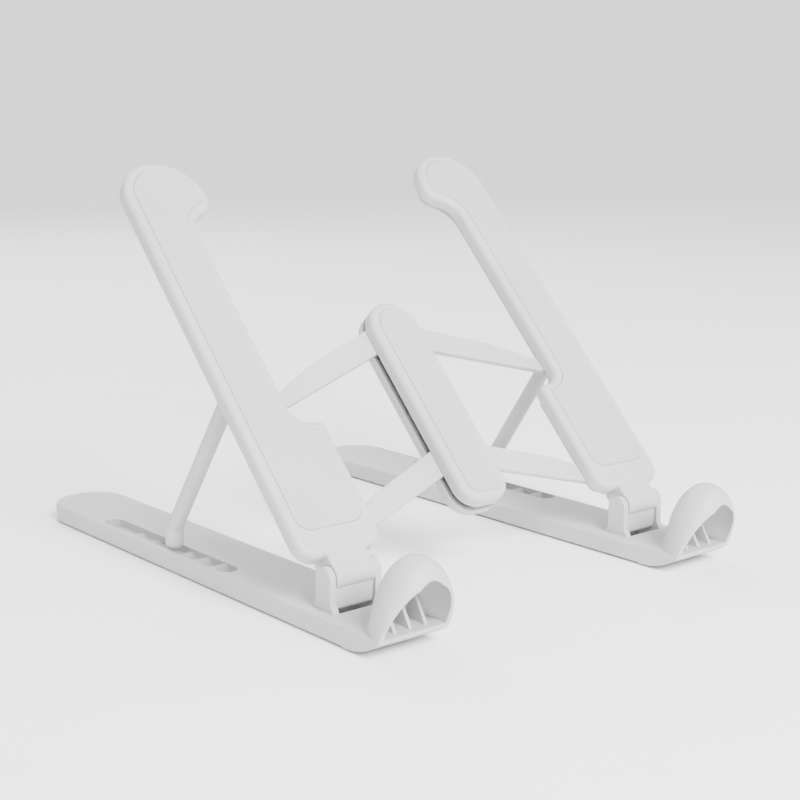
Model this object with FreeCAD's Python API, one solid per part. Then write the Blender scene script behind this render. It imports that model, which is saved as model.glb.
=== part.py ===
"""Folding laptop stand: two bases, two hinged arms, and a centre bar on a parallelogram linkage.

World frame in millimetres: X across the stand, Y from the hooks to the back, Z up.
The stand is symmetric about X = 0 and its rubber feet stand on Z = 0.
Y is drawn from the front edge of the bases; the finished parts are centred on Y = 0.
The right half is drawn at +X and mirrored for the left half.
Arm parts are drawn flat: X across, Y along the arm from the hinge axis, Z out of the top face.
"""
import FreeCAD, Part
import math
import os

V = FreeCAD.Vector
AXIS_X = V(1, 0, 0)
AXIS_Y = V(0, 1, 0)
AXIS_Z = V(0, 0, 1)

# ---- driving dimensions: stance and linkage -------------------------------------------------
rest_tilt = 46.4            # arm angle above the desk, degrees
link_length = 80.0          # pivot to pivot
link_rest_angle = 20.5      # link angle in the arm plane when the stand is spread, degrees
link_pivot_gap = 14.0       # across the centre bar, between its two rows of pivots
link_spacing = 63.5         # lower to upper pivot, along the arm
arm_pivot_low = 12.6        # lower link pivot, along the arm from the hinge axis
arm_pivot_offset = 0.9      # link pivots sit this far outside the arm's centre line

# ---- construction ---------------------------------------------------------------------------
cut_past = 1.0              # cutters run past the faces they open by this much
lap = 0.1                   # bosses and shanks reach into what they join by this much

# ---- bases ----------------------------------------------------------------------------------
base_length = 240.0
base_width = 34.0
base_thick = 8.2
foot_proud = 0.6            # rubber feet below the base
base_top_round = 1.6
base_bottom_round = 0.8
hinge_y = 21.5              # hinge axis behind the front edge of the base
hinge_z = 21.2              # hinge axis above the desk
ear_radius = 4.6
ear_thick = 2.8
ear_gap = 0.3               # ear to knuckle, each side
ear_flare = 2.0             # ears widen by this much at their feet
ear_flare_height = 3.0
knuckle_width = 18.4
knuckle_radius = 5.2
knuckle_web_step = 0.3      # web set in from the barrel
knuckle_drop = 12.8         # stop lobe below the hinge axis
knuckle_back = 4.2          # stop lobe behind the hinge axis
knuckle_toe = 2.8           # its foot ahead of the hinge axis
knuckle_toe_round = 2.0
slot_front = 6.6            # slot in the base ahead of the hinge axis
slot_back = 7.4             # and behind it
slot_floor = 2.0
hinge_pin_radius = 1.6
run_gap = 0.05              # radial running clearance of every pivot

# ---- hooks at the front of the bases --------------------------------------------------------
hook_height = 37.8          # apex above the desk
hook_tip_reach = 27.5       # foremost point ahead of the base's front edge
hook_crown_round = 9.4
hook_crown_end = 58.0       # the round crown gives way to the back slope here, degrees
hook_back_reach = -4.0      # a point on the back slope, behind the front edge (negative: ahead)
hook_back_height = 22.6
hook_foot = 5.0             # where the scoop starts, behind the front edge
hook_front_reach = 17.2     # lower edge of the scoop's mouth, ahead of the front edge
hook_front_height = 7.6     # and above the desk
hook_foot_slope = 0.15      # fall of the back slope where it meets the base
hook_lip_below = 0.6        # the front lip spans from this far below the scoop's lower edge
hook_lip_above = 0.9        # to this far above it
tray_join = 4.0             # the curved front joins the flat base here
tray_sweep_at = 0.55        # point on its curve, as shares of the reach and height
tray_sweep_rise = 0.27
hook_wall = 2.2
hook_hollow_shrink = 1.4    # walls the hollow is smaller by, over the hook's height
hook_hollow_forward = 1.0
hook_hollow_up = 1.1
scoop_fullness = 2.0        # 2 is elliptical, more is squarer
scoop_side_turn = 82.0      # how far round towards its sides the scoop is drawn, degrees
scoop_steps = 8             # sections from its middle to each side
hook_rib_thick = 1.4
hook_rib_pitch = 7.4
hook_rib_set_back = 1.2     # ribs start this far behind the scoop's lower edge
hook_rib_count = 3
# top outline of a rib, as shares of hook_front_reach and hook_height
hook_rib_profile = ((-0.62, 0.44), (-0.42, 0.56), (-0.22, 0.44), (-0.1, 0.33))

# ---- arms -----------------------------------------------------------------------------------
arm_width = 39.5
arm_start = 7.0             # lower end of the arm, along it from the hinge axis
arm_end_round = 8.0
arm_top = 5.2               # top face above the hinge axis
arm_layer_drop = 11.0       # underside of the cover below the top face
arm_plate = 2.6             # plate under the top face
arm_wall = 2.4
arm_edge_round = 2.5
arm_recess = 13.5           # depth of the recess that the centre bar folds into
arm_step = 65.0             # lower end of that recess
arm_step_round_in = 9.0
arm_step_round_out = 3.0
arm_head = 183.0            # centre of the round head
arm_head_corner = 9.0       # below the head, on its inner side
arm_head_bay = 11.5         # then into the recess
cover_thick = 1.4
cover_inset = 4.5
groove_gap = 0.5            # the cover's groove clears the folded strut's path by this much more
pad_margin = 4.1
pad_groove = 0.12
pad_start = 18.2
pad_end_round = 6.0
pad_pocket = 1.0
pad_thick = 1.4
pad_edge_round = 0.4

# ---- centre bar -----------------------------------------------------------------------------
bar_width = 26.0
bar_below_pivots = 25.6     # bar's lower end below its lower pivots
bar_above_pivots = 14.4     # its upper end above its upper pivots
bar_corner_round = 9.5
bar_crown = 15.0            # length of the rounded top end
bar_wall = 2.2
bar_shell_thick = 4.5       # lower shell
bar_floor = 1.6
bar_under_round = 2.0
bar_post_radius = 3.2

# ---- links and their pivots -----------------------------------------------------------------
link_thick = 3.0
link_layer_gap = 0.3        # above and below a link
link_small_radius = 3.4     # at the arm
link_big_radius = 6.0       # at the bar
link_corner_at = 36.0       # the upper edge reaches full width here
link_corner_round = 6.0
link_waist_at = 6.8         # narrowest point of the upper edge, from the arm pivot
link_waist = 2.55           # and above the centre line
link_round = 0.7
pivot_pin_radius = 1.5
pivot_boss_radius = 3.5
pivot_boss_gap = 0.2
pin_depth = 0.9             # lower end of an arm pivot pin inside the cover
pin_top_gap = 0.1           # pivot pins stop this far below the top plates

# ---- struts and notches ---------------------------------------------------------------------
strut_pivot = 87.0          # along the arm from the hinge axis
strut_pivot_drop = 1.8      # below the hinge axis level
strut_radius = 3.5
strut_eye_radius = 3.7
strut_seam_turn = 37.0      # keeps the stem's seam line off the foot's
strut_gap = 0.35
strut_lug_thick = 2.4
strut_lug_length = 9.0
strut_lug_drop = 3.1        # lugs reach this far below the pivot
strut_pin_radius = 1.2
tip_radius = 4.0
tip_height = 9.6            # straight part of the tip, down to its ball
tip_rest_z = 7.6            # lowest point of the tip above the desk
tip_collar = 1.4            # the tip rises this far above the prop's bend
tip_round = 1.2
track_rim = 1.5
track_gap = 0.4
track_depth = 3.2
track_start = 84.0
track_end = 186.0
notch_first = 95.6
notch_pitch = 13.4
notch_count = 6
notch_width = 5.0
notch_clear = 0.3
notch_profile = (-0.6, -0.1, 0.1, 0.4)   # ridge's foot, top and foot, as shares of notch_width
tip_sweep_end = 65.0        # arm angles looked at for the passing tip, degrees
tip_sweep_step = 0.5
rest_notch = 3              # ridge that holds the tip in the rest pose

# ---- feet and screws ------------------------------------------------------------------------
rubber_length = 26.0
rubber_width = 14.0
rubber_pocket = 1.0
rubber_front_y = 44.0
rubber_back_y = 214.0
rubber_edge_round = 0.3
screw_radius = 1.25
screw_head_radius = 2.4
screw_head_thick = 1.3
screw_head_gap = 0.2
screw_length = 6.0          # below its head
screw_slot = 0.6
screw_head_round = 0.65
screw_cross_reach = 1.44
screw_cross_depth = 0.78
screw_boss_radius = 3.1
arm_screw_low = 34.0
arm_screw_low_offset = 9.0  # outside the arm's centre line
arm_screw_head_offset = 4.0 # inside the arm's centre line
bar_screw_below = 16.6      # lower bar screw below the lower pivots
bar_screw_above = 7.9       # upper bar screw above the upper pivots

# ---- derived places -------------------------------------------------------------------------
tilt = math.radians(rest_tilt)
spread = math.radians(link_rest_angle)
arm_pivot_x = link_pivot_gap / 2 + link_length * math.cos(spread)
bar_rise = link_length * math.sin(spread)
centre_x = arm_pivot_x - arm_pivot_offset
inner_x = centre_x - arm_width / 2
outer_x = centre_x + arm_width / 2
recess_x = inner_x + arm_recess
arm_pivot_high = arm_pivot_low + link_spacing
bar_pivot_low = arm_pivot_low + bar_rise
bar_pivot_high = arm_pivot_high + bar_rise
bar_bottom = bar_pivot_low - bar_below_pivots
bar_top = bar_pivot_high + bar_above_pivots
bar_screw_low = bar_pivot_low - bar_screw_below
bar_screw_high = bar_pivot_high + bar_screw_above
base_z = foot_proud
base_top = base_z + base_thick
base_outer = centre_x + base_width / 2
arm_under = arm_top - arm_layer_drop
plate_under = arm_top - arm_plate
pin_top = plate_under - pin_top_gap
layer_low = arm_under + cover_thick
link_low = layer_low + link_layer_gap
link_high = link_low + link_thick
layer_high = link_high + link_layer_gap
bar_under = layer_low - bar_shell_thick
bar_seat = bar_under + screw_head_thick
strut_in_arm = outer_x - arm_wall - strut_lug_thick - strut_gap - strut_radius
strut_x = min(base_outer - track_rim - track_gap - tip_radius, strut_in_arm)
rest_tip_y = notch_first + (rest_notch - 0.5) * notch_pitch
strut_top_y = hinge_y + strut_pivot * math.cos(tilt) + strut_pivot_drop * math.sin(tilt)
strut_top_z = hinge_z + strut_pivot * math.sin(tilt) - strut_pivot_drop * math.cos(tilt)
tip_ball_z = tip_rest_z + tip_radius
tip_bend_z = tip_ball_z + tip_height - tip_radius


# ---- helpers --------------------------------------------------------------------------------
def box(x0, x1, y0, y1, z0, z1):
    return Part.makeBox(x1 - x0, y1 - y0, z1 - z0, V(x0, y0, z0))


def rod(radius, start, end):
    axis = end - start
    return Part.makeCylinder(radius, axis.Length, start, axis)


def rod_x(radius, x0, x1, y, z):
    return rod(radius, V(x0, y, z), V(x1, y, z))


def rod_z(radius, x, y, z0, z1):
    return rod(radius, V(x, y, z0), V(x, y, z1))


def line(a, b):
    return Part.makeLine(a, b)


def arc(a, middle, b):
    return Part.Arc(a, middle, b).toShape()


def arc_about(cx, cy, r, a0, a1):
    """Arc in the XY plane from angle a0 to a1, in degrees."""
    def at(a):
        return V(cx + r * math.cos(math.radians(a)), cy + r * math.sin(math.radians(a)), 0)
    return arc(at(a0), at((a0 + a1) / 2), at(a1))


def extrude(edges, z0, z1):
    wire = Part.Wire(Part.__sortEdges__(edges))
    face = Part.Face(wire)
    face.translate(V(0, 0, z0))
    return face.extrude(V(0, 0, z1 - z0))


def inset_prism(edges, inset, z0, z1):
    wire = Part.Wire(Part.__sortEdges__(edges))
    if inset:
        wire = wire.makeOffset2D(-inset)
    face = Part.Face(wire)
    face.translate(V(0, 0, z0))
    return face.extrude(V(0, 0, z1 - z0))


def profile_x(points, x0, x1):
    """Straight-sided outline in the YZ plane, extruded along X."""
    corners = [V(x0, y, z) for y, z in points]
    wire = Part.makePolygon(corners + corners[:1])
    return Part.Face(wire).extrude(V(x1 - x0, 0, 0))


def edges_at_z(shape, z):
    found = []
    for edge in shape.Edges:
        bounds = edge.BoundBox
        if abs(bounds.ZMin - z) < 1e-4 and abs(bounds.ZMax - z) < 1e-4:
            found.append(edge)
    return found


def round_edges(shape, edges, radius):
    return shape.makeFillet(radius, edges) if edges else shape


def to_world(shape):
    """Arm frame to world frame in the rest pose."""
    placed = shape.copy()
    placed.rotate(V(0, 0, 0), AXIS_X, rest_tilt)
    placed.translate(V(0, hinge_y, hinge_z))
    return placed


def mirrored(shape):
    return shape.mirror(V(0, 0, 0), AXIS_X)


def solid(shape):
    """The one solid of a finished part."""
    merged = shape.removeSplitter()
    if not merged.isValid():
        merged = shape
    return max(merged.Solids, key=lambda piece: piece.Volume)


def save(name, shape):
    part = solid(shape)
    part.translate(V(0, (hook_tip_reach - base_length) / 2, 0))
    part.exportStep("parts/" + name + ".step")


def save_pair(name, shape):
    save(name + "_right", shape)
    save(name + "_left", mirrored(shape))


# ---- strut geometry shared by the strut, its track and its groove ------------------------------
def strut_top():
    return V(strut_x, strut_top_y, strut_top_z)


def strut_bend():
    return V(strut_x, rest_tip_y, tip_bend_z)


def fold_ratio():
    """Strut turn per turn of the arm, so that both lie parallel when folded flat."""
    down = strut_bend() - strut_top()
    return (tilt - math.atan2(down.z, down.y)) / tilt


def tip_place(angle):
    """Centre of the tip's ball, in Y and Z, at an arm angle in radians."""
    turn = (angle - tilt) * (1 - fold_ratio())
    dy = rest_tip_y - strut_top_y
    dz = tip_ball_z - strut_top_z
    top_y = hinge_y + strut_pivot * math.cos(angle) + strut_pivot_drop * math.sin(angle)
    top_z = hinge_z + strut_pivot * math.sin(angle) - strut_pivot_drop * math.cos(angle)
    y = top_y + dy * math.cos(turn) - dz * math.sin(turn)
    z = top_z + dy * math.sin(turn) + dz * math.cos(turn)
    return y, z


def ridge_top(y):
    """Highest ridge at y that the passing tip clears."""
    lowest = base_top
    for step in range(int(tip_sweep_end / tip_sweep_step) + 1):
        tip_y, tip_z = tip_place(math.radians(step * tip_sweep_step))
        if abs(tip_y - y) < tip_radius + notch_width / 2:
            lowest = min(lowest, tip_z - tip_radius)
    return lowest - notch_clear


# ---- bases ----------------------------------------------------------------------------------
def base_plate():
    half = base_width / 2
    round_y = base_length - half
    edges = [
        line(V(centre_x - half, 0, 0), V(centre_x + half, 0, 0)),
        line(V(centre_x + half, 0, 0), V(centre_x + half, round_y, 0)),
        arc_about(centre_x, round_y, half, 0, 180),
        line(V(centre_x - half, round_y, 0), V(centre_x - half, 0, 0)),
    ]
    plate = extrude(edges, base_z, base_top)
    top = [e for e in edges_at_z(plate, base_top) if e.BoundBox.YMax > tray_join]
    plate = round_edges(plate, top, base_top_round)
    under = [e for e in edges_at_z(plate, base_z) if e.BoundBox.YMax > tray_join]
    return round_edges(plate, under, base_bottom_round)


def scoop_profile(scale):
    """Side outline of the scoop in the YZ plane, scaled about its front lower edge."""
    front = V(0, -hook_front_reach, hook_front_height)
    round_y = hook_crown_round - hook_tip_reach
    round_z = hook_height - hook_crown_round

    def on_crown(angle):
        turn = math.radians(angle)
        return V(0, round_y + hook_crown_round * math.cos(turn),
                 round_z + hook_crown_round * math.sin(turn))

    leave = math.radians(hook_crown_end)
    back = V(0, hook_back_reach, hook_back_height)
    foot = V(0, hook_foot, base_top)
    places = [on_crown(180), on_crown((180 + hook_crown_end) / 2), on_crown(hook_crown_end),
              back, foot]
    rim, nose, shoulder, back, foot = [front + (place - front) * scale for place in places]
    slope = Part.BSplineCurve()
    slope.interpolate(Points=[shoulder, back, foot],
                      InitialTangent=V(0, math.sin(leave), -math.cos(leave)),
                      FinalTangent=V(0, 1, -hook_foot_slope))
    edges = [arc(rim, nose, shoulder), slope.toShape(), line(foot, front), line(front, rim)]
    return Part.Wire(edges)


def scoop(half_width, shrink):
    """Dome of rounded sections: the side outline shrinks to nothing at each side."""
    sections = []
    for index in range(-scoop_steps, scoop_steps + 1):
        across = math.sin(index / scoop_steps * math.radians(scoop_side_turn))
        size = (1 - abs(across) ** scoop_fullness) ** (1 / scoop_fullness)
        wire = scoop_profile(shrink * size)
        wire.translate(V(half_width * across, 0, 0))
        sections.append(wire)
    return Part.makeLoft(sections, True, False)


def tray():
    """Front of the base, curving up to the scoop's lower edge."""
    half = base_width / 2
    low = [V(0, tray_join, base_z), V(0, 0, base_z)]
    edge = V(0, -hook_front_reach, hook_front_height - hook_lip_below)
    lip = V(0, -hook_front_reach, hook_front_height + hook_lip_above)
    bend = V(0, -hook_front_reach * tray_sweep_at, base_z + hook_front_height * tray_sweep_rise)
    sweep = arc(low[1], bend, edge)
    edges = [line(low[0], low[1]), sweep, line(edge, lip), line(lip, V(0, 0, base_top)),
             line(V(0, 0, base_top), V(0, tray_join, base_top)),
             line(V(0, tray_join, base_top), low[0])]
    face = Part.Face(Part.Wire(edges))
    face.translate(V(-half, 0, 0))
    return face.extrude(V(2 * half, 0, 0))


def hook_rib_outline():
    top = [(reach * hook_front_reach, rise * hook_height) for reach, rise in hook_rib_profile]
    foot = [(top[-1][0], hook_front_height), (hook_rib_set_back - hook_front_reach, hook_front_height)]
    return foot + top


def hook():
    half = base_width / 2
    shell = tray().fuse(scoop(half, 1.0))
    hollow = scoop(half - hook_wall, 1 - hook_wall / hook_height * hook_hollow_shrink)
    hollow.translate(V(0, -hook_hollow_forward, hook_hollow_up))
    body = shell.cut(hollow)
    for index in range(hook_rib_count):
        x = (index - (hook_rib_count - 1) / 2) * hook_rib_pitch
        rib = profile_x(hook_rib_outline(), x - hook_rib_thick / 2, x + hook_rib_thick / 2)
        body = body.fuse(rib)
    body.translate(V(centre_x, 0, 0))
    return body


def ears():
    half = knuckle_width / 2 + ear_gap
    shape = None
    for x0 in (centre_x - half - ear_thick, centre_x + half):
        ear = rod_x(ear_radius, x0, x0 + ear_thick, hinge_y, hinge_z)
        leg = box(x0, x0 + ear_thick, hinge_y - ear_radius, hinge_y + ear_radius,
                  base_z + base_thick / 2, hinge_z)
        front, back = hinge_y - ear_radius, hinge_y + ear_radius
        high = base_top + ear_flare_height
        flare = profile_x([(front - ear_flare, base_top - lap), (front, high), (back, high),
                           (back + ear_flare, base_top - lap)], x0, x0 + ear_thick)
        ear = ear.fuse(leg).fuse(flare)
        shape = ear if shape is None else shape.fuse(ear)
    return shape


def track():
    half = tip_radius + track_gap
    floor = base_top - track_depth
    channel = box(strut_x - half, strut_x + half, track_start + half, track_end - half,
                  floor, base_top + cut_past)
    for y in (track_start + half, track_end - half):
        channel = channel.fuse(rod_z(half, strut_x, y, floor, base_top + cut_past))
    for index in range(notch_count):
        y = notch_first + index * notch_pitch
        top = ridge_top(y)
        places = [y + share * notch_width for share in notch_profile]
        outline = list(zip(places, (floor, top, top, floor)))
        ridge = profile_x(outline, strut_x - half, strut_x + half)
        channel = channel.cut(ridge)
    return channel


def rubber_outline(y, inset, z0, z1):
    half = rubber_width / 2 - inset
    reach = rubber_length / 2 - rubber_width / 2
    edges = [
        line(V(centre_x + half, y - reach, 0), V(centre_x + half, y + reach, 0)),
        arc_about(centre_x, y + reach, half, 0, 180),
        line(V(centre_x - half, y + reach, 0), V(centre_x - half, y - reach, 0)),
        arc_about(centre_x, y - reach, half, 180, 360),
    ]
    return extrude(edges, z0, z1)


def base():
    shape = base_plate().fuse(hook()).fuse(ears())
    half = knuckle_width / 2 + ear_gap
    shape = shape.cut(box(centre_x - half, centre_x + half, hinge_y - slot_front,
                          hinge_y + slot_back, slot_floor, base_top + cut_past))
    shape = shape.cut(track())
    reach = half + ear_thick + cut_past
    shape = shape.cut(rod_x(hinge_pin_radius, centre_x - reach, centre_x + reach,
                            hinge_y, hinge_z))
    for y in (rubber_front_y, rubber_back_y):
        shape = shape.cut(rubber_outline(y, 0, base_z - cut_past, base_z + rubber_pocket))
    return shape


def rubber_foot(y):
    pad = rubber_outline(y, 0, 0, base_z + rubber_pocket)
    return round_edges(pad, edges_at_z(pad, 0), rubber_edge_round)


def hinge_pin():
    half = knuckle_width / 2 + ear_gap + ear_thick
    return rod_x(hinge_pin_radius, centre_x - half, centre_x + half, hinge_y, hinge_z)


# ---- arms -----------------------------------------------------------------------------------
def arm_edges():
    """Arm outline: straight outer side, round head, and the recess the bar folds into."""
    head_r = arm_width / 2
    turn_r, bay_r = arm_head_corner, arm_head_bay
    across = arm_recess - turn_r - bay_r
    bay_y = arm_head - math.sqrt((turn_r + bay_r) ** 2 - across ** 2)
    lean = math.degrees(math.atan2(arm_head - bay_y, across))
    in_r, out_r = arm_step_round_in, arm_step_round_out
    low = arm_start + arm_end_round
    return [
        line(V(outer_x, low, 0), V(outer_x, arm_head, 0)),
        arc_about(centre_x, arm_head, head_r, 0, 90),
        arc_about(centre_x, arm_head, head_r, 90, 180),
        arc_about(inner_x + turn_r, arm_head, turn_r, 180, 360 - lean),
        arc_about(recess_x - bay_r, bay_y, bay_r, 180 - lean, 0),
        line(V(recess_x, bay_y, 0), V(recess_x, arm_step + in_r, 0)),
        arc_about(recess_x - in_r, arm_step + in_r, in_r, 0, -90),
        line(V(recess_x - in_r, arm_step, 0), V(inner_x + out_r, arm_step, 0)),
        arc_about(inner_x + out_r, arm_step - out_r, out_r, 90, 180),
        line(V(inner_x, arm_step - out_r, 0), V(inner_x, low, 0)),
        arc_about(inner_x + arm_end_round, low, arm_end_round, 180, 270),
        line(V(inner_x + arm_end_round, arm_start, 0), V(outer_x - arm_end_round, arm_start, 0)),
        arc_about(outer_x - arm_end_round, low, arm_end_round, 270, 360),
    ]


def arm_blank():
    shape = extrude(arm_edges(), layer_high, arm_top)
    return round_edges(shape, edges_at_z(shape, arm_top), arm_edge_round)


def pad_prism(inset, z0, z1):
    shape = inset_prism(arm_edges(), pad_margin - pad_groove + inset, z0, z1)
    low = pad_start + inset
    shape = shape.cut(box(inner_x - cut_past, outer_x + cut_past, -arm_start, low,
                          z0 - cut_past, z1 + cut_past))
    corners = []
    for edge in shape.Edges:
        bounds = edge.BoundBox
        if bounds.ZLength > z1 - z0 - 0.01 and abs(bounds.YMin - low) < 0.01:
            if bounds.YLength < 0.01:
                corners.append(edge)
    return round_edges(shape, corners, pad_end_round)


def arm_screws():
    return [(centre_x + arm_screw_low_offset, arm_screw_low),
            (centre_x - arm_screw_head_offset, arm_head)]


def arm_cavity():
    return inset_prism(arm_edges(), arm_wall, layer_high - cut_past, plate_under)


def strut_lugs():
    y0 = strut_pivot - strut_lug_length / 2
    y1 = strut_pivot + strut_lug_length / 2
    low = -strut_pivot_drop - strut_lug_drop
    high = plate_under + lap
    reach = strut_radius + strut_gap
    inner = box(strut_x - reach - strut_lug_thick, strut_x - reach, y0, y1, low, high)
    outer = box(strut_x + reach, outer_x - arm_wall + lap, y0, y1, low, high)
    return inner.fuse(outer)


def arm_holes():
    holes = rod_x(strut_pin_radius, strut_x - strut_radius - strut_gap - strut_lug_thick,
                  outer_x - arm_wall, strut_pivot, -strut_pivot_drop)
    for y in (arm_pivot_low, arm_pivot_high):
        holes = holes.fuse(rod_z(pivot_pin_radius, arm_pivot_x, y, layer_low - cut_past,
                                 pin_top))
    for x, y in arm_screws():
        holes = holes.fuse(rod_z(screw_radius, x, y, arm_under, arm_under + screw_length))
    return holes


def arm_bosses():
    bosses = strut_lugs()
    for y in (arm_pivot_low, arm_pivot_high):
        bosses = bosses.fuse(rod_z(pivot_boss_radius, arm_pivot_x, y,
                                   link_high + pivot_boss_gap, plate_under + lap))
    for x, y in arm_screws():
        bosses = bosses.fuse(rod_z(screw_boss_radius, x, y, layer_low, plate_under + lap))
    return bosses


def arm_flat():
    """Arm shell without its knuckle, in the arm frame."""
    shape = arm_blank().cut(arm_cavity().cut(arm_bosses()))
    shape = shape.cut(pad_prism(0, arm_top - pad_pocket, arm_top + cut_past))
    return shape.cut(arm_holes())


def knuckle():
    """Hinge barrel, its web to the arm, and the stop lobe that stands in the base slot."""
    x0 = centre_x - knuckle_width / 2
    x1 = centre_x + knuckle_width / 2
    half = knuckle_radius - knuckle_web_step
    web = box(x0, x1, 0, arm_start + arm_wall / 2, -half, half)
    barrel = rod_x(knuckle_radius, x0, x1, 0, 0)
    placed = to_world(web.fuse(barrel))
    low = hinge_z - knuckle_drop
    lobe = profile_x([(hinge_y - knuckle_back, hinge_z), (hinge_y - knuckle_toe, low),
                      (hinge_y + knuckle_back, low), (hinge_y + knuckle_back, hinge_z)], x0, x1)
    lobe = round_edges(lobe, [e for e in edges_at_z(lobe, low) if e.BoundBox.XLength > knuckle_width / 2],
                       knuckle_toe_round)
    bore = rod_x(hinge_pin_radius + run_gap, x0 - cut_past, x1 + cut_past, hinge_y, hinge_z)
    return placed.fuse(lobe).cut(bore)


def arm():
    return to_world(arm_flat()).fuse(knuckle())


def arm_cover():
    plate = inset_prism(arm_edges(), cover_inset, arm_under, layer_low)
    for y in (arm_pivot_low, arm_pivot_high):
        plate = plate.fuse(rod_z(pivot_boss_radius, arm_pivot_x, y, arm_under, layer_low))
    for x, y in arm_screws():
        plate = plate.fuse(rod_z(screw_boss_radius, x, y, arm_under, layer_low))
    plate = plate.cut(arm_flat())
    half = strut_radius + strut_gap + groove_gap
    front = strut_pivot - strut_lug_length
    back = strut_pivot + tip_flat_reach()
    plate = plate.cut(box(strut_x - half, strut_x + half, front, back,
                          arm_under - cut_past, layer_low + cut_past))
    for y in (arm_pivot_low, arm_pivot_high):
        plate = plate.cut(rod_z(pivot_pin_radius, arm_pivot_x, y,
                                layer_low - pin_depth, layer_low + cut_past))
    for x, y in arm_screws():
        plate = plate.cut(rod_z(screw_radius, x, y, arm_under - cut_past, layer_low + cut_past))
    return solid(plate)


def tip_flat_reach():
    """How far the folded strut and its tip reach along the arm from their pivot."""
    down = strut_bend() - strut_top()
    return down.Length + tip_height + tip_radius


def arm_pad():
    pad = pad_prism(pad_groove, arm_top - pad_pocket, arm_top - pad_pocket + pad_thick)
    top = edges_at_z(pad, arm_top - pad_pocket + pad_thick)
    return round_edges(pad, top, pad_edge_round)


# ---- centre bar -------------------------------------------------------------------------------
def bar_edges(inset):
    half = bar_width / 2 - inset
    low = bar_bottom + inset
    corner = bar_corner_round - inset
    crown = bar_crown - inset
    start = bar_top - bar_crown
    return [
        line(V(-half, start, 0), V(-half, low + corner, 0)),
        arc_about(corner - half, low + corner, corner, 180, 270),
        line(V(corner - half, low, 0), V(half - corner, low, 0)),
        arc_about(half - corner, low + corner, corner, 270, 360),
        line(V(half, low + corner, 0), V(half, start, 0)),
        half_ellipse(half, crown, start),
    ]


def half_ellipse(half, crown, start):
    """Upper half of an ellipse with the given half width and height, ends level at y = start."""
    if crown >= half:
        curve = Part.Ellipse(V(0, start + crown, 0), V(half, start, 0), V(0, start, 0))
    else:
        curve = Part.Ellipse(V(half, start, 0), V(0, start + crown, 0), V(0, start, 0))
    first = curve.parameter(V(half, start, 0))
    last = curve.parameter(V(-half, start, 0))
    piece = curve.toShape(first, last)
    if piece.BoundBox.YMax < start + crown / 2:
        piece = curve.toShape(last, first + 2 * math.pi)
    return piece


def bar_prism(inset, z0, z1):
    return extrude(bar_edges(inset), z0, z1)


def bar_pivots():
    places = []
    for side in (-1, 1):
        for y in (bar_pivot_low, bar_pivot_high):
            places.append((side * link_pivot_gap / 2, y))
    return places


def bar_screws():
    return [(0, bar_screw_low), (0, bar_screw_high)]


def bar_cap():
    shape = bar_prism(0, layer_high, arm_top)
    shape = round_edges(shape, edges_at_z(shape, arm_top), arm_edge_round)
    shape = shape.cut(bar_prism(bar_wall, layer_high - cut_past, plate_under))
    for x, y in bar_pivots():
        shape = shape.fuse(rod_z(pivot_boss_radius, x, y, link_high + pivot_boss_gap,
                                 plate_under + lap))
    for x, y in bar_screws():
        shape = shape.fuse(rod_z(bar_post_radius, x, y, layer_low, plate_under + lap))
    shape = shape.cut(bar_prism(pad_margin - pad_groove, arm_top - pad_pocket, arm_top + cut_past))
    for x, y in bar_pivots():
        shape = shape.cut(rod_z(pivot_pin_radius, x, y, layer_low, pin_top))
    for x, y in bar_screws():
        shape = shape.cut(rod_z(screw_radius, x, y, layer_low - cut_past, bar_seat + screw_length))
    return to_world(shape)


def bar_shell():
    shape = bar_prism(0, bar_under, layer_low)
    shape = round_edges(shape, edges_at_z(shape, bar_under), bar_under_round)
    shape = shape.cut(bar_prism(bar_wall, bar_under + bar_floor, layer_low + cut_past))
    for x, y in bar_pivots():
        shape = shape.fuse(rod_z(pivot_boss_radius, x, y, bar_under + bar_floor - lap,
                                 link_low - pivot_boss_gap))
    for x, y in bar_screws():
        shape = shape.fuse(rod_z(bar_post_radius, x, y, bar_under, layer_low))
    for x, y in bar_pivots():
        shape = shape.cut(rod_z(pivot_pin_radius, x, y, bar_under + bar_floor, layer_low + cut_past))
    for x, y in bar_screws():
        shape = shape.cut(rod_z(screw_radius, x, y, bar_under - cut_past, layer_low + cut_past))
        shape = shape.cut(rod_z(screw_head_radius + screw_head_gap, x, y,
                                bar_under - cut_past, bar_seat))
    return to_world(shape)


def bar_pad():
    low = arm_top - pad_pocket
    pad = bar_prism(pad_margin, low, low + pad_thick)
    return to_world(round_edges(pad, edges_at_z(pad, low + pad_thick), pad_edge_round))


def screw(x, y, seat):
    """Pan-head screw: its head's flat face sits at Z = seat and its shank points up from there."""
    under = seat - screw_head_thick
    head = rod_z(screw_head_radius, x, y, under, seat)
    head = round_edges(head, edges_at_z(head, under), screw_head_round)
    shank = rod_z(screw_radius, x, y, seat - lap, seat + screw_length)
    reach, half = screw_cross_reach, screw_slot / 2
    low, high = under - cut_past, under + screw_cross_depth
    cross = box(x - reach, x + reach, y - half, y + half, low, high)
    cross = cross.fuse(box(x - half, x + half, y - reach, y + reach, low, high))
    return head.fuse(shank).cut(cross)


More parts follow.
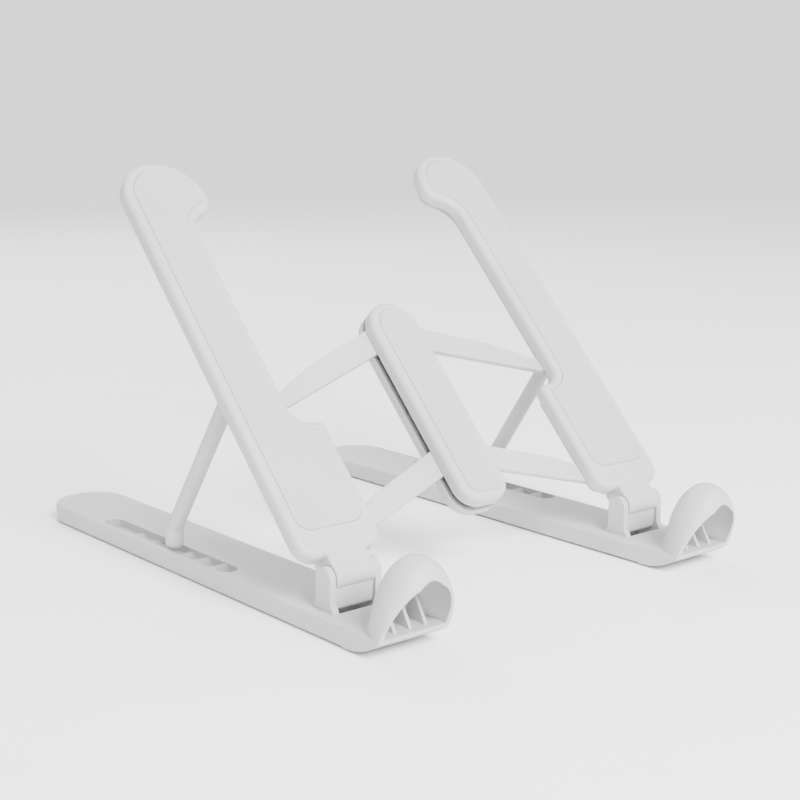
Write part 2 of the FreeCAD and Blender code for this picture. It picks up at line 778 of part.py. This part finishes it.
# ---- links ------------------------------------------------------------------------------------
def link_plate():
    """Tapered link along +X from its arm pivot at the origin to its bar pivot."""
    small, big = link_small_radius, link_big_radius
    plate = box(0, link_length, -small, small, link_low, link_high)
    corners = [V(0, small, link_low), V(link_waist_at, link_waist, link_low),
               V(link_corner_at, big, link_low), V(link_length, big, link_low),
               V(link_length, -big, link_low), V(0, -small, link_low)]
    body = Part.Face(Part.makePolygon(corners + corners[:1])).extrude(V(0, 0, link_thick))
    body = body.fuse(rod_z(small, 0, 0, link_low, link_high))
    body = body.fuse(rod_z(big, link_length, 0, link_low, link_high)).removeSplitter()
    bend = []
    for edge in body.Edges:
        bounds = edge.BoundBox
        if bounds.ZLength > link_thick - 0.01 and bounds.XLength < 0.01:
            if abs(bounds.XMin - link_corner_at) < 0.01:
                bend.append(edge)
    body = round_edges(body, bend, link_corner_round)
    rims = edges_at_z(body, link_high) + edges_at_z(body, link_low)
    body = round_edges(body, rims, link_round)
    for x in (0, link_length):
        body = body.cut(rod_z(pivot_pin_radius + run_gap, x, 0, link_low - cut_past, link_high + cut_past))
    return body


def link_left(pivot_y):
    """Link from the left arm to the bar, rising towards the middle."""
    plate = link_plate()
    plate.rotate(V(0, 0, 0), AXIS_Z, link_rest_angle)
    plate.translate(V(-arm_pivot_x, pivot_y, 0))
    return to_world(plate)


def pivot_pin(x, y, low):
    return to_world(rod_z(pivot_pin_radius, x, y, low, pin_top))


# ---- struts -----------------------------------------------------------------------------------
def strut():
    """Round prop with an eye at its top and an upright thick end with a ball foot."""
    top = strut_top()
    bend = strut_bend()
    collar_z = bend.z + tip_collar
    foot = rod_z(tip_radius, strut_x, rest_tip_y, tip_ball_z, collar_z)
    foot = foot.fuse(Part.makeSphere(tip_radius, V(strut_x, rest_tip_y, tip_ball_z)))
    foot = round_edges(foot, edges_at_z(foot, collar_z), tip_round)
    eye = rod_x(strut_eye_radius, strut_x - strut_radius, strut_x + strut_radius, top.y, top.z)
    stem = rod(strut_radius, top, bend)
    stem = stem.fuse(Part.makeSphere(strut_radius, bend))
    stem.rotate(top, bend - top, strut_seam_turn)
    shape = stem.fuse(foot).fuse(eye)
    reach = strut_radius + cut_past
    return shape.cut(rod_x(strut_pin_radius + run_gap, strut_x - reach, strut_x + reach,
                           top.y, top.z))


def strut_pin():
    x0 = strut_x - strut_radius - strut_gap - strut_lug_thick
    x1 = outer_x - arm_wall
    return to_world(rod_x(strut_pin_radius, x0, x1, strut_pivot, -strut_pivot_drop))


# ---- write every part -------------------------------------------------------------------------
def write_bases():
    save_pair("base", base())
    save_pair("rubber_foot_front", rubber_foot(rubber_front_y))
    save_pair("rubber_foot_back", rubber_foot(rubber_back_y))
    save_pair("hinge_pin", hinge_pin())


def write_arms():
    save_pair("arm_shell", arm())
    save_pair("arm_cover", to_world(arm_cover()))
    save_pair("arm_pad", to_world(arm_pad()))
    save_pair("strut", strut())
    save_pair("strut_pin", strut_pin())
    for name, place in zip(("low", "head"), arm_screws()):
        part = to_world(screw(place[0], place[1], arm_under))
        save_pair("arm_screw_" + name, part)


def write_bar():
    save("bar_cap", bar_cap())
    save("bar_lower_shell", bar_shell())
    save("bar_pad", bar_pad())
    for name, place in zip(("low", "high"), bar_screws()):
        save("bar_screw_" + name, to_world(screw(place[0], place[1], bar_seat)))


def write_links():
    heights = (("lower", arm_pivot_low), ("upper", arm_pivot_high))
    for name, y in heights:
        link = link_left(y)
        save("link_" + name + "_left", link)
        save("link_" + name + "_right", mirrored(link))
        save_pair("arm_pivot_pin_" + name, pivot_pin(arm_pivot_x, y, layer_low - pin_depth))
        save_pair("bar_pivot_pin_" + name,
                  pivot_pin(link_pivot_gap / 2, y + bar_rise, bar_under + bar_floor))


os.makedirs("parts", exist_ok=True)
write_bases()
write_arms()
write_bar()
write_links()
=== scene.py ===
"""Looks for the folding laptop stand: white moulded plastic with soft pads, on a pale floor."""
import math

import bpy
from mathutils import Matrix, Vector

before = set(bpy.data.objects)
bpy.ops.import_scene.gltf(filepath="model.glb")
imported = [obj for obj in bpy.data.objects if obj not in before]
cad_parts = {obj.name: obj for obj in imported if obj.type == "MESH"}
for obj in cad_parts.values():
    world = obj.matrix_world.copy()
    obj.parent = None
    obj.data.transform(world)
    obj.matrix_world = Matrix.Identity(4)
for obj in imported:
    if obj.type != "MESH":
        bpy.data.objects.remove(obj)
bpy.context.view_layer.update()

# ---- camera and studio ----------------------------------------------------------------------
CAMERA_PLACE = (-0.4177, -0.52035, 0.1957)      # metres, in the world frame
CAMERA_DOWN = 11.065                            # degrees below the horizon
CAMERA_TURN = -39.736                           # degrees about Z, from +Y
CAMERA_LENS = 67.94                             # mm
CAMERA_SENSOR = 36.0                            # mm
CAMERA_NEAR = 0.01
CAMERA_FAR = 20.0
FLOOR_SIZE = 6.0
FLOOR_DROP = 0.0002                             # floor below the feet
WORLD_LIGHT = 1.6
LIT_POINT = (0, 0, 0.06)                        # the lights face this point
# name, place, disk diameter, watts
LIGHTS = (
    ("key", (-0.2, -1.3, 1.0), 0.8, 80),
    ("fill", (1.2, -0.6, 0.7), 1.4, 4),
    ("back", (0.3, 1.3, 1.2), 1.4, 20),
)

# ---- materials --------------------------------------------------------------------------------
GRAIN = 0.00035                                 # moulded plastic's fine texture, metres
PAD_GRAIN = 0.0006                              # silicone's texture
STEEL_GRAIN = 0.0005
FLOOR_GRAIN = 0.02
FLOW = 0.05                                     # broad colour variation
FLOW_DETAIL = 3.0
FLOW_LOW = 0.35                                 # noise values where the tint starts to change
FLOW_HIGH = 0.65                                # and where the change is complete
GRAIN_DETAIL = 4.0
GRAIN_HEIGHT = 0.0001
ROUGHNESS_SPREAD = 0.06                         # either side of a material's own roughness
# darker tint, lighter tint, roughness, grain, bump
WHITE_PLASTIC = ((0.42, 0.42, 0.418), (0.46, 0.46, 0.458), 0.5, GRAIN, 0.25)
WHITE_SILICONE = ((0.40, 0.40, 0.398), (0.43, 0.43, 0.428), 0.65, PAD_GRAIN, 0.3)
FOOT_RUBBER = ((0.36, 0.36, 0.355), (0.40, 0.40, 0.395), 0.7, PAD_GRAIN, 0.4)
STEEL = ((0.48, 0.48, 0.49), (0.56, 0.56, 0.57), 0.35, STEEL_GRAIN, 0.2)
FLOOR = ((0.93, 0.93, 0.93), (0.95, 0.95, 0.95), 0.7, FLOOR_GRAIN, 0.05)


def add_camera():
    data = bpy.data.cameras.new("camera")
    data.lens = CAMERA_LENS
    data.sensor_width = CAMERA_SENSOR
    data.clip_start = CAMERA_NEAR
    data.clip_end = CAMERA_FAR
    camera = bpy.data.objects.new("camera", data)
    camera.location = CAMERA_PLACE
    camera.rotation_euler = (math.radians(90 - CAMERA_DOWN), 0, math.radians(CAMERA_TURN))
    bpy.context.scene.collection.objects.link(camera)
    bpy.context.scene.camera = camera


def noise(tree, place, size, detail):
    texture = tree.nodes.new("ShaderNodeTexNoise")
    texture.inputs["Scale"].default_value = 1 / size
    texture.inputs["Detail"].default_value = detail
    tree.links.new(place.outputs["Object"], texture.inputs["Vector"])
    return texture.outputs["Fac"]


def tint(tree, amount, low, high):
    """Colour that drifts from the darker to the lighter tint."""
    ramp = tree.nodes.new("ShaderNodeValToRGB")
    start, end = ramp.color_ramp.elements
    start.position = FLOW_LOW
    start.color = (*low, 1)
    end.position = FLOW_HIGH
    end.color = (*high, 1)
    tree.links.new(amount, ramp.inputs["Fac"])
    return ramp.outputs["Color"]


def plastic(name, low, high, roughness, grain, bump):
    """Moulded plastic or silicone: slight broad shade changes and a fine surface texture."""
    material = bpy.data.materials.new(name)
    material.use_nodes = True
    tree = material.node_tree
    shader = tree.nodes["Principled BSDF"]
    place = tree.nodes.new("ShaderNodeTexCoord")
    broad = noise(tree, place, FLOW, FLOW_DETAIL)
    tree.links.new(tint(tree, broad, low, high), shader.inputs["Base Color"])
    fine = noise(tree, place, grain, GRAIN_DETAIL)
    rough = tree.nodes.new("ShaderNodeMapRange")
    rough.inputs["To Min"].default_value = roughness - ROUGHNESS_SPREAD
    rough.inputs["To Max"].default_value = roughness + ROUGHNESS_SPREAD
    tree.links.new(fine, rough.inputs["Value"])
    tree.links.new(rough.outputs["Result"], shader.inputs["Roughness"])
    relief = tree.nodes.new("ShaderNodeBump")
    relief.inputs["Strength"].default_value = bump
    relief.inputs["Distance"].default_value = GRAIN_HEIGHT
    tree.links.new(fine, relief.inputs["Height"])
    tree.links.new(relief.outputs["Normal"], shader.inputs["Normal"])
    return material


def steel():
    material = plastic("steel", *STEEL)
    material.node_tree.nodes["Principled BSDF"].inputs["Metallic"].default_value = 1.0
    return material


def add_floor():
    half = FLOOR_SIZE / 2
    mesh = bpy.data.meshes.new("floor")
    corners = [(-half, -half, -FLOOR_DROP), (half, -half, -FLOOR_DROP),
               (half, half, -FLOOR_DROP), (-half, half, -FLOOR_DROP)]
    mesh.from_pydata(corners, [], [(0, 1, 2, 3)])
    floor = bpy.data.objects.new("floor", mesh)
    floor.data.materials.append(plastic("floor", *FLOOR))
    bpy.context.scene.collection.objects.link(floor)


def area_light(name, place, size, power):
    data = bpy.data.lights.new(name, "AREA")
    data.shape = "DISK"
    data.size = size
    data.energy = power
    light = bpy.data.objects.new(name, data)
    light.location = place
    toward = Vector(LIT_POINT) - Vector(place)
    light.rotation_euler = toward.to_track_quat("-Z", "Y").to_euler()
    bpy.context.scene.collection.objects.link(light)


def add_lights():
    for name, place, size, power in LIGHTS:
        area_light(name, place, size, power)
    world = bpy.data.worlds.new("studio")
    world.use_nodes = True
    background = world.node_tree.nodes["Background"]
    background.inputs["Color"].default_value = (1, 1, 1, 1)
    background.inputs["Strength"].default_value = WORLD_LIGHT
    bpy.context.scene.world = world


def dress_nodes():
    """Gives every CAD node its finish."""
    shell = plastic("white_plastic", *WHITE_PLASTIC)
    pad = plastic("white_silicone", *WHITE_SILICONE)
    foot = plastic("foot_rubber", *FOOT_RUBBER)
    metal = steel()
    finishes = {"arm_pad": pad, "bar_pad": pad, "rubber_foot": foot, "hinge_pin": shell}
    for name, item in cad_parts.items():
        material = shell
        if "_pin" in name or "screw" in name:
            material = metal
        for start, finish in finishes.items():
            if name.startswith(start):
                material = finish
        item.data.materials.clear()
        item.data.materials.append(material)


add_camera()
add_floor()
add_lights()
dress_nodes()
